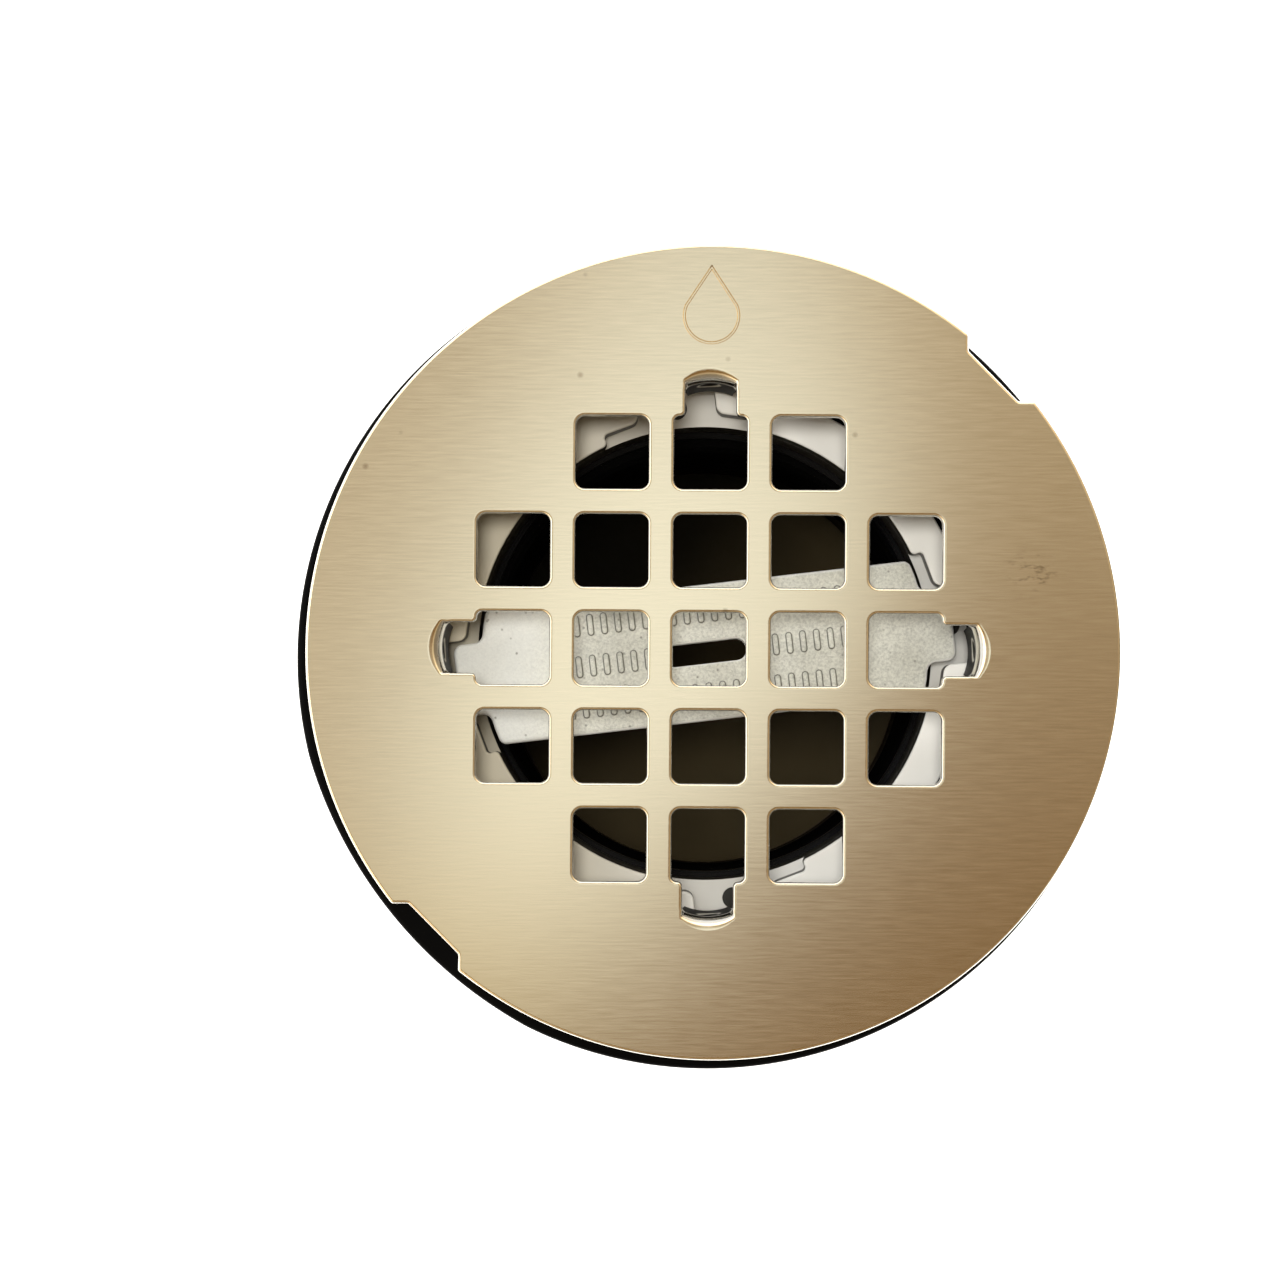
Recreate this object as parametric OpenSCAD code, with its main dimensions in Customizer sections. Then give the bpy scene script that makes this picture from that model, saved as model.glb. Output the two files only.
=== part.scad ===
// Shower floor drain: a snap-in pierced strainer over a no-caulk drain body, with the
// compression gasket, slip ring, notched nut and tightening key inside the body, and the
// sealing washer, friction washer and locknut that clamp it under the floor.
// Z is the axis of the drain body, z = 0 is the bottom of the body, +Z is up.

/* [Strainer] */
// Outside diameter of the strainer plate
strainer_d = 108; // [107:0.5:108.5]
// Thickness of the strainer sheet
sheet_t = 1.2; // [1:0.1:1.4]
// Distance between the centres of neighbouring holes
hole_pitch = 13; // [12.8:0.1:13.2]
// Width of one square hole
hole_w = 9.65; // [9.2:0.05:9.8]
// Corner radius of a square hole
hole_corner = 1.2; // [0.6:0.1:1.6]
// Width of each keyhole slot
slot_w = 6.75; // [6.2:0.05:7]
// Distance from the pattern centre to the end of a slot
slot_reach = 37.2; // [36.9:0.1:37.2]
// Width of each bent snap tab
tab_w = 6; // [5:0.1:6]
// Radius of the curved face of a snap tab
tab_arc_r = 8; // [7:0.5:9]
// How far a snap tab hangs below the top of the sheet
tab_drop = 10; // [8:0.5:10]
// Depth of the two pry notches in the rim
notch_depth = 1.9; // [1.5:0.1:2.2]
// Half width of the inner edge of a pry notch
notch_half = 4.7; // [4:0.1:5]

/* [Drain body] */
// Height of the drain body
body_h = 58.8; // [58.8:0.1:62]
// Radius of the flange
flange_r = 54.6; // [54.4:0.1:54.8]
// Thickness of the flange
flange_t = 3.8; // [3.4:0.1:4]
// Crest radius of the outside thread, for a floor opening 82.6 mm across
spigot_r = 40.75; // [40.6:0.05:40.8]
// Radius of the recess under the strainer
recess_r = 38.6; // [38.4:0.1:38.8]
// Radius of the smooth bore that guides the pipe
lip_r = 31.1; // [30.8:0.1:31.4]
// Pitch of both threads
pitch = 3.2; // [3.2:0.1:3.4]

/* [Compression set] */
// Radius of the bore of the gasket, for a pipe 60.3 mm across
pipe_bore_r = 30.2; // [30.2:0.01:30.25]
// Height of the gasket when it is relaxed
gasket_h = 22; // [21:0.5:22]
// Outer radius of the nut
nut_r = 36.6; // [36.4:0.1:36.6]
// Inner radius of the nut
nut_bore_r = 31.5; // [31.3:0.1:31.6]
// Height of the nut
nut_h = 10; // [9:0.5:10]
// Depth of the notches in the top of the nut
nut_notch = 3.5; // [3:0.5:4]
// Thickness of the slip ring
slip_t = 1.8; // [1.5:0.1:2]

/* [Tightening key] */
// Width of the key
key_w = 18.7; // [18:0.1:19]
// Thickness of the key
key_t = 4; // [3.5:0.1:4]
// Radius of the rounded ends of the key
key_end_r = 30.7; // [30.2:0.1:30.9]
// Reach of the tabs that enter the nut's notches
key_reach = 34.3; // [33.8:0.1:34.3]
// Width of those tabs
key_tab_w = 9.9; // [9:0.1:10.2]
// Angle of the key and the notches about the axis
key_angle = 6.6; // [0:0.1:12]

/* [Locknut and washers] */
// Thickness of the rubber sealing washer
seal_t = 3.2; // [2.8:0.1:3.4]
// Thickness of the friction washer
friction_t = 1; // [0.8:0.1:1.2]
// Height of the locknut
locknut_h = 12; // [10:0.5:12]
// Radius over the lugs of the locknut
locknut_lug_r = 51.5; // [50.5:0.1:52]
// Number of lugs
locknut_lugs = 8; // [6:1:8]

/* [Hidden] */
$fn = 96;

// A little length that carries a cut past the face it opens through
past = 1;

// Sideways play of the loose pieces: the plate on the flange, and the nut with its slip ring
plate_shift = [0.78, 0.78];
nut_shift = [-0.2, 1.05];
// The pierced pattern sits a little off the plate's own centre, and a little turned
pattern_shift = [-0.54, 0.46];
pattern_turn = -0.4;

// Strainer details
strainer_r = strainer_d / 2;
hole_rows = [[-1, 0, 1], [-2, -1, 0, 1, 2], [-2, -1, 0, 1, 2], [-2, -1, 0, 1, 2], [-1, 0, 1]];
bend_in = 0.5;
bend_out = bend_in + sheet_t;
tab_centre = slot_reach - bend_out - tab_arc_r;
tab_root = 0.6;
bump_r = 1.8;
bump_out = 0.35;
bump_z = -4.2;

// Heights of the stack inside the body; the recess is measured from the strainer's top
recess_depth = 11;
nut_top = body_h + sheet_t - recess_depth;
nut_z = nut_top - nut_h;
slip_z = nut_z - slip_t;
gasket_z = slip_z - gasket_h;
nut_travel_turns = 1.5;
nut_travel = nut_travel_turns * pitch;
key_z = nut_top - nut_notch;

// Threads: how far up its pitch a tooth's crest starts and ends, and where the tooth ends
crest_start = 0.3;
crest_end = 0.6;
tooth_end = 0.9;
// How deep the outside and inside grooves are
out_groove = 1.05;
in_groove = 0.8;
nut_room = 1.15;
nut_bore_in_body = nut_r + nut_room;
socket_r = 34.9;
gasket_r = 34.6;
slip_r = 33.7;
slip_room = 0.6;
// The outside thread starts above the foot and stops below a plain neck under the flange
thread_z = 6;
neck_h = 2;
thread_runout = 2;
thread_turns = floor((body_h - flange_t - neck_h - thread_runout - thread_z) / pitch);
// The inside thread reaches a little below the nut's lowest place
inner_thread_z = nut_z - nut_travel - 0.4;
inner_turns = 4;
// The nut's thread starts a little above its underside
nut_thread_start = 0.1 * pitch;
nut_turns = 3;

// Flange details
relief_arc_r = 60.5;
relief_edge_r = 54.05;
relief_angle = 39;
rim_round = 0.8;

// Nut notches: a wide ledge near the bore and a channel out to the edge
ledge_r = 33;
ledge_half_angle = 18.5;
channel_w = 10.9;

// Key details
driver_slot = [11.5, 3];
// Raised pads on the key: two long rows, and a short one at each side of the slot
mark_h = 0.35;
mark_w = 2.8;
mark_start = 7.5;
mark_end = 19.5;
mark_row = 5.6;

// Under the floor
washer_bore_r = 41.1;
seal_r = 52;
friction_r = 51;
locknut_bore_r = 40.85;
locknut_r = 46;
locknut_flange_r = 48.5;
locknut_flange_t = 3;
lug_w = 9;

// One tooth of a ring thread from z0 up, as points that run up the crest side
function tooth(z0, root, crest) = [[root, z0], [crest, z0 + crest_start * pitch],
                                   [crest, z0 + crest_end * pitch], [root, z0 + tooth_end * pitch]];

// The points of a whole ring thread
function teeth(z0, count, root, crest) =
    [for (i = [0:count - 1]) each tooth(z0 + i * pitch, root, crest)];

// A square with round corners, centred
module rounded_square(w, r) {
    square([w, w - 2 * r], center = true);
    square([w - 2 * r, w], center = true);
    for (x = [-1, 1], y = [-1, 1]) translate([x, y] * (w / 2 - r)) circle(r);
}

// A flat ring
module ring(outer, inner, h) {
    rotate_extrude() translate([inner, 0]) square([outer - inner, h]);
}

// A slot along +X that opens out of the last hole and ends in an arc
module keyhole_slot() {
    start = 2 * hole_pitch;
    intersection() {
        translate([start, -slot_w / 2]) square([slot_reach - start, slot_w]);
        translate([tab_centre, 0]) circle(slot_reach - tab_centre);
    }
}

// A shallow notch in the rim along +X, flaring outwards at 45 degrees
module pry_notch() {
    inner = strainer_r - notch_depth;
    polygon([[inner, -notch_half], [inner, notch_half],
             [inner + 2 * notch_depth, notch_half + 2 * notch_depth],
             [inner + 2 * notch_depth, -notch_half - 2 * notch_depth]]);
}

// The section of a snap tab: its root in the sheet, the bend and the leg
module tab_section() {
    bend_x = tab_arc_r + bend_out;
    translate([bend_x, -sheet_t]) square([tab_root, sheet_t]);
    intersection() {
        translate([bend_x, -bend_out]) difference() {
            circle(bend_out);
            circle(bend_in);
        }
        translate([tab_arc_r, -bend_out]) square(bend_out);
    }
    translate([tab_arc_r, -tab_drop]) square([sheet_t, tab_drop - bend_out]);
}

// A curved tab drawn down from the end of a slot along +X, with its snap bump
module snap_tab() {
    bump_x = tab_arc_r + sheet_t + bump_out - bump_r;
    translate([tab_centre, 0, 0]) difference() {
        union() {
            intersection() {
                rotate_extrude() tab_section();
                translate([0, -tab_w / 2, -tab_drop - past])
                    cube([slot_reach, tab_w, tab_drop + 2 * past]);
            }
            difference() {
                translate([bump_x, 0, bump_z]) sphere(bump_r);
                translate([0, 0, -tab_drop]) cylinder(h = tab_drop, r = tab_arc_r + sheet_t / 2);
            }
        }
        translate([bump_x - sheet_t, 0, bump_z]) sphere(bump_r);
    }
}

// The pierced plate with its four tabs, one piece of sheet
module strainer() {
    color([0.72, 0.62, 0.44])
    translate([plate_shift.x, plate_shift.y, body_h]) rotate(pattern_turn) {
        linear_extrude(sheet_t) difference() {
            circle(strainer_r, $fn = 180);
            for (a = [45, 225]) rotate(a) pry_notch();
            translate(pattern_shift) {
                for (row = [0:4], column = hole_rows[row])
                    translate([column, row - 2] * hole_pitch) rounded_square(hole_w, hole_corner);
                for (a = [0:90:270]) rotate(a) keyhole_slot();
            }
        }
        translate([pattern_shift.x, pattern_shift.y, sheet_t])
            for (a = [0:90:270]) rotate(a) snap_tab();
    }
}

// The flange, a little smaller over its top edge
module flange() {
    translate([0, 0, body_h - flange_t]) linear_extrude(flange_t - rim_round) flange_rim();
    translate([0, 0, body_h - rim_round]) linear_extrude(rim_round) flange_rim(rim_round / 2);
}

// The outline of the flange: a circle with two shallow relief arcs
module flange_rim(inset = 0) {
    intersection() {
        circle(flange_r - inset, $fn = 180);
        rotate(relief_angle) translate([relief_arc_r - relief_edge_r, 0])
            circle(relief_arc_r - inset, $fn = 180);
        rotate(relief_angle) translate([relief_edge_r - relief_arc_r, 0])
            circle(relief_arc_r - inset, $fn = 180);
    }
}

// Flange, threaded spigot, gasket socket and pipe guide, one moulding
module drain_body() {
    root = spigot_r - out_groove;
    neck_z = body_h - flange_t - neck_h;
    color([0.08, 0.08, 0.08]) difference() {
        union() {
            flange();
            rotate_extrude($fn = 180) polygon(concat(
                [[lip_r, 0], [root, 0]],
                teeth(thread_z, thread_turns, root, spigot_r),
                [[root, neck_z], [spigot_r, neck_z],
                 [spigot_r, body_h - past], [lip_r, body_h - past]]));
        }
        rotate_extrude($fn = 180) polygon(concat(
            [[0, gasket_z], [socket_r, gasket_z], [socket_r, inner_thread_z]],
            teeth(inner_thread_z, inner_turns, nut_bore_in_body, nut_bore_in_body + in_groove),
            [[nut_bore_in_body, nut_top], [recess_r, nut_top], [recess_r, body_h + past],
             [0, body_h + past]]));
    }
}

// The ledge and the channel of one nut notch, along +X
module nut_notch_outline() {
    side = 2 * ledge_r;
    inner = nut_bore_r - past;
    intersection() {
        circle(ledge_r);
        polygon([[0, 0], side * [cos(ledge_half_angle), -sin(ledge_half_angle)],
                 side * [cos(ledge_half_angle), sin(ledge_half_angle)]]);
    }
    translate([inner, -channel_w / 2]) square([nut_r + past - inner, channel_w]);
}

// The ring nut that squeezes the gasket, with four notches for the key
module compression_nut() {
    root = nut_r - in_groove;
    color([0.86, 0.85, 0.82]) translate([nut_shift.x, nut_shift.y, nut_z]) difference() {
        rotate_extrude($fn = 180) polygon(concat(
            [[nut_bore_r, 0], [root, 0]],
            teeth(nut_thread_start, nut_turns, root, nut_r),
            [[nut_r, nut_h], [nut_bore_r, nut_h]]));
        for (a = [0:90:270]) rotate(key_angle + a)
            translate([0, 0, nut_h - nut_notch]) linear_extrude(nut_notch + past) nut_notch_outline();
    }
}

// The thin ring that lets the nut turn without dragging the gasket
module slip_ring() {
    color([0.07, 0.07, 0.07]) translate([nut_shift.x, nut_shift.y, slip_z])
        ring(slip_r, pipe_bore_r + slip_room, slip_t);
}

// The rubber sleeve that seals on the pipe
module compression_gasket() {
    color([0.06, 0.06, 0.06]) translate([0, 0, gasket_z]) ring(gasket_r, pipe_bore_r, gasket_h);
}

// A raised pad on the key's top, between two places along it
module raised_mark(start, end, y) {
    translate([start, y - mark_w / 2, key_t - past]) cube([end - start, mark_w, past + mark_h]);
}

// The cast key: a bar with rounded ends, a tab at each end and a driver slot in the middle
module tightening_key() {
    color([0.74, 0.74, 0.7]) translate([nut_shift.x, nut_shift.y, key_z]) rotate(key_angle) {
        difference() {
            linear_extrude(key_t) union() {
                intersection() {
                    circle(key_end_r);
                    square([2 * key_reach, key_w], center = true);
                }
                square([2 * key_reach, key_tab_w], center = true);
            }
            translate([0, 0, -past]) linear_extrude(key_t + 2 * past) union() {
                square([driver_slot.x - driver_slot.y, driver_slot.y], center = true);
                for (s = [-1, 1]) translate([s * (driver_slot.x - driver_slot.y) / 2, 0])
                    circle(driver_slot.y / 2);
            }
        }
        for (row = [-1, 1]) raised_mark(-mark_end, mark_end, row * mark_row);
        for (s = [-1, 1]) raised_mark(min(s * mark_start, s * mark_end),
                                      max(s * mark_start, s * mark_end), 0);
    }
}

// The rubber washer that seals against the underside of the floor
module sealing_washer() {
    color([0.1, 0.1, 0.1]) translate([0, 0, body_h - flange_t - seal_t])
        ring(seal_r, washer_bore_r, seal_t);
}

// The thin washer that lets the locknut slide on the rubber
module friction_washer() {
    color([0.62, 0.5, 0.36]) translate([0, 0, body_h - flange_t - seal_t - friction_t])
        ring(friction_r, washer_bore_r, friction_t);
}

// The locknut that clamps the floor against the flange
module locknut() {
    top = body_h - flange_t - seal_t - friction_t;
    color([0.12, 0.12, 0.12]) translate([0, 0, top - locknut_h]) difference() {
        union() {
            cylinder(h = locknut_h, r = locknut_r, $fn = 180);
            translate([0, 0, locknut_h - locknut_flange_t])
                cylinder(h = locknut_flange_t, r = locknut_flange_r, $fn = 180);
            for (i = [0:locknut_lugs - 1]) rotate(i * 360 / locknut_lugs)
                intersection() {
                    translate([locknut_bore_r + past, -lug_w / 2, 0])
                        cube([locknut_lug_r, lug_w, locknut_h]);
                    cylinder(h = locknut_h, r = locknut_lug_r, $fn = 180);
                }
        }
        translate([0, 0, -past]) cylinder(h = locknut_h + 2 * past, r = locknut_bore_r, $fn = 180);
    }
}

strainer();
drain_body();
compression_nut();
slip_ring();
compression_gasket();
tightening_key();
sealing_washer();
friction_washer();
locknut();
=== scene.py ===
"""A shower floor drain seen from above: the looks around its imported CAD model.

Lengths are in millimetres until Solid.mesh() turns them into metres.
"""

import math

import bmesh
import bpy
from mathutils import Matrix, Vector
from mathutils.geometry import delaunay_2d_cdt


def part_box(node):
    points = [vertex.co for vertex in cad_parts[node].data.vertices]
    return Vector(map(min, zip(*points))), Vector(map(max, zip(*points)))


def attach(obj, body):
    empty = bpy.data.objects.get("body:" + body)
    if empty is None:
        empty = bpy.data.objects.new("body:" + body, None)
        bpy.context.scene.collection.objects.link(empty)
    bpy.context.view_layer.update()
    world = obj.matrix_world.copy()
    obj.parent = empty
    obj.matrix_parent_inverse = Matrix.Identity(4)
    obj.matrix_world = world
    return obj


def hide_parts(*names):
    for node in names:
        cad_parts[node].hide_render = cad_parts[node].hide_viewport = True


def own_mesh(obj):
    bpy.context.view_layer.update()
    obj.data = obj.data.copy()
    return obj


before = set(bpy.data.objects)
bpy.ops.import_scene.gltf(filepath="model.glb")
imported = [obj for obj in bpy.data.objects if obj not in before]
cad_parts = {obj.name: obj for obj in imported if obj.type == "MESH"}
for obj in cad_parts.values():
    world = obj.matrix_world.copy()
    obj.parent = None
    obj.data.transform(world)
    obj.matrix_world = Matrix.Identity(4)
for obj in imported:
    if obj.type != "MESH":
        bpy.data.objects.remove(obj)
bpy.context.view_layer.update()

MM = 0.001
PITCH = 3.2
SHARP_ANGLE = math.radians(38.0)


def box_mm(node):
    """A CAD node's lowest and highest corners in millimetres."""
    low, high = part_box(node)
    return Vector(low) / MM, Vector(high) / MM


def polar(radius, angle):
    """The point at that radius and angle in degrees."""
    return Vector((radius * math.cos(math.radians(angle)), radius * math.sin(math.radians(angle))))


def turned(point, angle):
    """A point turned about the origin by that many degrees."""
    c, s = math.cos(math.radians(angle)), math.sin(math.radians(angle))
    return Vector((point.x * c - point.y * s, point.x * s + point.y * c))


def smooth(t):
    """0 to 1 with a soft start and end."""
    t = min(1.0, max(0.0, t))
    return t * t * (3 - 2 * t)


def tooth(t):
    """Height from 0 to 1 of a rounded thread tooth, over one pitch."""
    t -= math.floor(t)
    return smooth(t / 0.3) * (1 - smooth((t - 0.6) / 0.3))


# ---- outlines


class Outline:
    """A closed outline: points, normals that point into the material, and two notes for each point."""

    def __init__(self):
        self.points = []
        self.normals = []
        self.weights = []
        self.across = []

    def add(self, point, normal, weight=0.0, across=0.0):
        self.points.append(point)
        self.normals.append(normal)
        self.weights.append(weight)
        self.across.append(across)

    def at(self, index, offset):
        """The point at that index, moved into the material by offset."""
        return self.points[index] + self.normals[index] * offset

    def placed(self, turn=0.0, shift=(0, 0)):
        """A copy turned by that many degrees and then shifted."""
        out = Outline()
        for p, n, w, a in zip(self.points, self.normals, self.weights, self.across):
            out.add(turned(p, turn) + Vector(shift), turned(n, turn), w, a)
        return out


def filleted(corners, hole=False, arc_step=9.0, line_step=2.5):
    """An outline through corners (x, y, radius), counter-clockwise, each rounded by its radius.

    The material is inside the outline, or outside it for a hole.
    """
    side = 1 if hole else -1
    places = [Vector(corner[:2]) for corner in corners]
    ways = [(after - here).normalized() for here, after in zip(places, places[1:] + places[:1])]
    bends = [bend(places[i], corners[i][2], ways[i - 1], ways[i], side, arc_step)
             for i in range(len(corners))]
    out = Outline()
    for points, way, following in zip(bends, ways, bends[1:] + bends[:1]):
        for point, normal in points:
            out.add(point, normal)
        end = points[-1][0]
        gap = following[0][0] - end
        pieces = math.ceil(gap.length / line_step)
        for k in range(1, pieces):
            out.add(end + gap * k / pieces, Vector((way.y, -way.x)) * side)
    return out


def bend(here, radius, back, on, side, arc_step):
    """(point, normal) pairs round one corner, between the ways that lead to it and on from it."""
    turn = math.atan2(back.x * on.y - back.y * on.x, back.dot(on))
    if radius == 0:
        mid = (Vector((back.y, -back.x)) + Vector((on.y, -on.x))).normalized() * side
        return [(here, mid / math.cos(turn / 2))]
    sign = 1 if turn > 0 else -1
    start = here - back * radius * abs(math.tan(turn / 2))
    centre = start + Vector((-back.y, back.x)) * radius * sign
    steps = max(2, math.ceil(abs(math.degrees(turn)) / arc_step))
    heading = math.atan2(back.y, back.x)
    points = []
    for k in range(steps + 1):
        angle = heading + turn * k / steps
        outward = Vector((math.sin(angle), -math.cos(angle)))
        points.append((centre + outward * radius * sign, outward * side))
    return points


def arc(radius, start, end, step=2.5):
    """Corners without rounding along an arc about the origin, ends included."""
    count = max(1, math.ceil(abs(end - start) / step))
    return [(*polar(radius, start + (end - start) * k / count), 0) for k in range(count + 1)]


def rounded_box(w, h, radius, arc_step, line_step):
    """A rectangular hole about the origin, by its half width and half height."""
    return filleted([(-w, -h, radius), (w, -h, radius), (w, h, radius), (-w, h, radius)], True,
                    arc_step, line_step)


def round_hole(radius, centre, count):
    """A circular hole."""
    out = Outline()
    for k in range(count):
        way = polar(1, 360 * k / count)
        out.add(Vector(centre) + way * radius, way)
    return out


# ---- solids


def linked(name, data):
    """A new object in the scene."""
    obj = bpy.data.objects.new(name, data)
    bpy.context.scene.collection.objects.link(obj)
    return obj


class Solid:
    """Vertices and faces of one piece, in millimetres."""

    def __init__(self):
        self.verts = []
        self.faces = []

    def ring(self, points):
        """Adds points and gives their indices."""
        first = len(self.verts)
        self.verts.extend(tuple(p) for p in points)
        return list(range(first, len(self.verts)))

    def bridge(self, one, two):
        """Joins two closed rings of the same length with quads."""
        for i in range(len(one)):
            j = (i + 1) % len(one)
            self.faces.append((one[i], one[j], two[j], two[i]))

    def fill(self, *rings):
        """Fills the flat region that the rings bound, by even and odd nesting."""
        points, edges, origin = [], [], []
        for ring in rings:
            first = len(points)
            points += [Vector(self.verts[i][:2]) for i in ring]
            origin += ring
            edges += [(first + i, first + (i + 1) % len(ring)) for i in range(len(ring))]
        verts, _, faces, source, _, _ = delaunay_2d_cdt(points, edges, [], 0, 1e-6)
        names = {old: new for new, olds in enumerate(source) for old in olds}
        walls = {frozenset((names[a], names[b])) for a, b in edges}
        loops = [[Vector(self.verts[i][:2]) for i in ring] for ring in rings]
        for region in regions(faces, walls):
            biggest = max(region, key=lambda face: triangle_area(verts, face))
            centre = sum((verts[i] for i in biggest), Vector((0, 0))) / 3
            if triangle_area(verts, biggest) < 1e-6 or not sum(inside(centre, loop) for loop in loops) % 2:
                continue
            for face in region:
                self.faces.append([origin[source[i][0]] for i in face])

    def stack(self, rings):
        """Joins each ring to the next and gives them back."""
        for one, two in zip(rings, rings[1:]):
            self.bridge(one, two)
        return rings

    def sweep(self, outline, section):
        """Rings along an outline: (offset, height) rows, or a function of the index that gives them."""
        rows = [section(i) if callable(section) else section for i in range(len(outline.points))]
        return self.stack([self.ring([(*outline.at(i, row[k][0]), row[k][1]) for i, row in enumerate(rows)])
                           for k in range(len(rows[0]))])

    def tube(self, rows, steps=192):
        """Turns (radius, height) rows about the Z axis. A radius may be a function of the angle."""
        rings = []
        for radius, height in rows:
            points = []
            for i in range(steps):
                angle = 2 * math.pi * i / steps
                r = radius(angle) if callable(radius) else radius
                points.append((r * math.cos(angle), r * math.sin(angle), height))
            rings.append(self.ring(points))
        return self.stack(rings)

    def mesh(self, name, material):
        """A mesh in metres with that material."""
        mesh = bpy.data.meshes.new(name)
        mesh.from_pydata([(x * MM, y * MM, z * MM) for x, y, z in self.verts], [], self.faces)
        mesh.materials.append(material)
        return mesh

    def build(self, name, body, node, slot, material):
        """The finished object, riding on a body in place of a CAD node."""
        mesh = self.mesh(name, material)
        shape = bmesh.new()
        shape.from_mesh(mesh)
        bmesh.ops.remove_doubles(shape, verts=shape.verts, dist=1e-5 * MM)
        bmesh.ops.dissolve_degenerate(shape, edges=shape.edges, dist=1e-4 * MM)
        bmesh.ops.recalc_face_normals(shape, faces=shape.faces)
        for face in shape.faces:
            face.smooth = True
        shape.to_mesh(mesh)
        shape.free()
        mesh.set_sharp_from_angle(angle=SHARP_ANGLE)
        lay_brush_map(mesh)
        obj = linked(name, mesh)
        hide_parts(node)
        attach(obj, body)
        return obj


def lathe(rows, steps=180):
    """A solid of revolution whose last row joins its first."""
    solid = Solid()
    rings = solid.tube(rows, steps)
    solid.bridge(rings[-1], rings[0])
    return solid


def lay_brush_map(mesh):
    """A UV map whose u runs along Y, the way that brushing along X spreads a highlight."""
    layer = mesh.uv_layers.new(name="brush")
    for loop in mesh.loops:
        x, y, z = mesh.vertices[loop.vertex_index].co
        layer.data[loop.index].uv = (10 * y + 3 * z, 10 * x + 3 * z)


def triangle_area(verts, face):
    """The area of a flat triangle."""
    a, b, c = (verts[i] for i in face)
    return abs((b - a).cross(c - a)) / 2


def regions(faces, walls):
    """The triangles in groups that join across edges that aren't walls."""
    beside = {}
    for face in faces:
        for pair in zip(face, face[1:] + face[:1]):
            if frozenset(pair) not in walls:
                beside.setdefault(frozenset(pair), []).append(tuple(face))
    left = {tuple(face) for face in faces}
    groups = []
    while left:
        todo = [left.pop()]
        group = []
        while todo:
            face = todo.pop()
            group.append(face)
            for pair in zip(face, face[1:] + face[:1]):
                for other in beside.get(frozenset(pair), ()):
                    if other in left:
                        left.remove(other)
                        todo.append(other)
        groups.append(group)
    return groups


def inside(point, loop):
    """Whether a point is inside a closed loop."""
    hit = False
    for a, b in zip(loop, loop[1:] + loop[:1]):
        if (a.y > point.y) != (b.y > point.y):
            if point.x < a.x + (point.y - a.y) * (b.x - a.x) / (b.y - a.y):
                hit = not hit
    return hit


def edge_round(width, height, steps=5):
    """(offset, drop) over a rounded edge, from the flat down to the wall."""
    out = []
    for k in range(steps + 1):
        angle = math.pi / 2 * k / steps
        out.append((width * (1 - math.sin(angle)), height * (1 - math.cos(angle))))
    return out


def edge_rows(top, bottom, top_round, bottom_round):
    """(offset, height) rows down a plain wall with a rounded top and bottom edge."""
    rows = [(top_round + 0.05, top)]
    rows += [(x, top - z) for x, z in edge_round(top_round, top_round)]
    rows += [(x, bottom + z) for x, z in edge_round(bottom_round, bottom_round)[::-1]]
    rows.append((bottom_round + 0.05, bottom))
    return rows


def thread_rows(low, high, root, depth, fade=0.6, per_pitch=12):
    """Lathe rows of a right-hand helical thread that fades in and out at its ends."""
    count = round((high - low) / PITCH * per_pitch)
    rows = []
    for k in range(count + 1):
        z = low + (high - low) * k / count
        ends = smooth((z - low) / (fade * PITCH)) * smooth((high - z) / (fade * PITCH))

        def radius(angle, z=z, ends=ends):
            return root + depth * ends * tooth(z / PITCH - angle / (2 * math.pi))

        rows.append((radius, z))
    return rows


# ---- materials

BRUSH_ROUGH = 0.18
BRUSH_ANISOTROPY = 0.6
TAB_ROUGH = 0.5
STAIN = (0.25, 0.16, 0.08)
# painted highlight colour for the plate's curved edges
EDGE_HIGHLIGHT = (0.98, 0.955, 0.90)
# painted shade colour for the snap tab faces
TAB_SHADE = (0.004, 0.0035, 0.003)
# painted highlight colour for the ring round each snap bump
BUMP_RIM_HIGHLIGHT = (0.65, 0.62, 0.55)
# painted shade colour for the nut's west side
NUT_WEST_SHADE = (0.60, 0.55, 0.44)
# painted shade colour for the nut's walls and bore
NUT_SHADE = (0.03, 0.028, 0.024)
# painted light colour for the key's west end
ZINC_WEST_LIGHT = (0.94, 0.96, 0.95)
# worn colour and painted highlight for the key's edges and walls
ZINC_WORN_AND_HIGHLIGHT = (0.97, 0.97, 0.94)
ZINC_PIT = (0.20, 0.19, 0.17)
# painted shade colour for the feet of the raised bars
ZINC_CREASE_SHADE = (0.07, 0.065, 0.055)


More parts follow.
